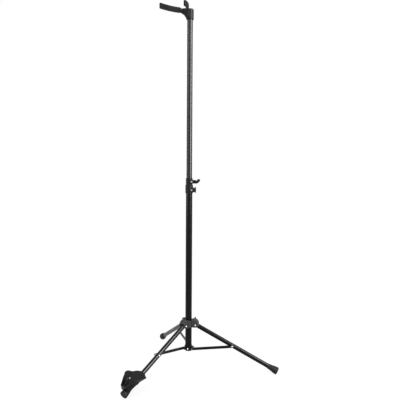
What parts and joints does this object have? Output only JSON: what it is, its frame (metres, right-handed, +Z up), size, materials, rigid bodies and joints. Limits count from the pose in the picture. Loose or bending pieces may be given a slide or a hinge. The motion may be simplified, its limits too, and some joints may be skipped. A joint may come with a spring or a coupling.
{
  "type": "double bass stand",
  "caption": "Folding tripod stand for a double bass: telescopic column with a clamp, an endpin cup on a leg and a turning neck fork.",
  "frame": {"origin": "point of the floor below the column axis", "axes": "+Z up along the column, -Y along the leg that carries the endpin cup, +X to its left seen from the cup"},
  "size_m": [0.7242, 0.6313, 1.6518],
  "materials": {
    "black_steel": "satin",
    "hub_plastic": "matt",
    "cup_plastic": "satin",
    "black_rubber": "matt",
    "zinc": "satin",
    "brass": "satin",
    "bush_plastic": "matt"
  },
  "bodies": {
    "column": {"lower_tube": "black_steel", "bottom_hub": "black_steel", "base_screw": "zinc", "tube_end_plug": "bush_plastic", "strut_pivot_rivets": "zinc", "clamp_collar": "cup_plastic", "upper_clamp_bolt": "zinc", "lower_clamp_bolt": "zinc", "lever_end_nut": "zinc"},
    "lever": {"clamp_lever": "cup_plastic"},
    "wing_nut": {"clamp_wing_nut": "cup_plastic"},
    "hub": {"leg_hub": "hub_plastic", "hub_bush": "bush_plastic", "hub_insert": "brass", "leg_pivot_rivets": "zinc"},
    "hub_screw": {"hub_wing_screw": "cup_plastic"},
    "mast_slider": {"mast_glide": "bush_plastic"},
    "mast": {"upper_tube": "black_steel", "fork_hub": "black_steel", "fork_screw": "zinc", "mast_cap": "cup_plastic", "fork_bracket": "black_steel", "fork_sleeve_left": "black_rubber", "fork_sleeve_right": "black_rubber"},
    "leg_front": {"leg_tube_front": "black_steel", "leg_end_front": "bush_plastic", "leg_rivet_front": "zinc", "foot_front": "black_rubber", "endpin_cup": "cup_plastic", "cup_saddle": "black_steel", "cup_rivets": "zinc"},
    "strut_front": {"strut_front": "black_steel", "strut_rivet_front": "zinc"},
    "leg_right": {"leg_tube_right": "black_steel", "leg_end_right": "bush_plastic", "leg_rivet_right": "zinc", "foot_right": "black_rubber"},
    "strut_right": {"strut_right": "black_steel", "strut_rivet_right": "zinc"},
    "leg_left": {"leg_tube_left": "black_steel", "leg_end_left": "bush_plastic", "leg_rivet_left": "zinc", "foot_left": "black_rubber"},
    "strut_left": {"strut_left": "black_steel", "strut_rivet_left": "zinc"}
  },
  "joints": [
    {"name": "hub_slide", "type": "slide", "parent": "column", "child": "hub", "axis": [0, 0, 1], "range_m": [0, 0.265]},
    {"name": "hub_screw_turn", "type": "hinge", "parent": "hub", "child": "hub_screw", "pos_m": [0, 0.03205, 0.21189], "axis": [0, 1, 0], "range_deg": [0, 450]},
    {"name": "leg_front_fold", "type": "hinge", "parent": "hub", "child": "leg_front", "pos_m": [0, -0.0342, 0.20289], "axis": [1, 0, 0], "range_deg": [0, 59]},
    {"name": "leg_right_fold", "type": "hinge", "parent": "hub", "child": "leg_right", "pos_m": [0.02962, 0.0171, 0.20289], "axis": [-0.5, 0.866, 0], "range_deg": [0, 59]},
    {"name": "leg_left_fold", "type": "hinge", "parent": "hub", "child": "leg_left", "pos_m": [-0.02962, 0.0171, 0.20289], "axis": [-0.5, -0.866, 0], "range_deg": [0, 59]},
    {"name": "strut_front_fold", "type": "hinge", "parent": "column", "child": "strut_front", "pos_m": [0, -0.0185, 0.0943], "axis": [-1, 0, 0], "range_deg": [0, 74.19]},
    {"name": "strut_right_fold", "type": "hinge", "parent": "column", "child": "strut_right", "pos_m": [0.01602, 0.00925, 0.0943], "axis": [0.5, -0.866, 0], "range_deg": [0, 74.19]},
    {"name": "strut_left_fold", "type": "hinge", "parent": "column", "child": "strut_left", "pos_m": [-0.01602, 0.00925, 0.0943], "axis": [0.5, 0.866, 0], "range_deg": [0, 74.19]},
    {"name": "clamp_lever_turn", "type": "hinge", "parent": "column", "child": "lever", "pos_m": [0.021, 0.0085, 0.8613], "axis": [0, -1, 0], "range_deg": [-60, 70]},
    {"name": "wing_nut_turn", "type": "hinge", "parent": "column", "child": "wing_nut", "pos_m": [0.021, 0.0085, 0.8233], "axis": [0, 1, 0], "range_deg": [0, 450]},
    {"name": "mast_height", "type": "slide", "parent": "column", "child": "mast_slider", "axis": [0, 0, 1], "range_m": [-0.588, 0.05]},
    {"name": "mast_turn", "type": "hinge", "parent": "mast_slider", "child": "mast", "pos_m": [0, 0, 0.7153], "axis": [0, 0, 1], "continuous": true}
  ],
  "couplings": [
    {"joint": "leg_front_fold", "follows": "hub_slide", "rad_per_m": 3.8855},
    {"joint": "leg_right_fold", "follows": "hub_slide", "rad_per_m": 3.8855},
    {"joint": "leg_left_fold", "follows": "hub_slide", "rad_per_m": 3.8855},
    {"joint": "strut_front_fold", "follows": "hub_slide", "rad_per_m": 4.8851},
    {"joint": "strut_right_fold", "follows": "hub_slide", "rad_per_m": 4.8851},
    {"joint": "strut_left_fold", "follows": "hub_slide", "rad_per_m": 4.8851}
  ]
}
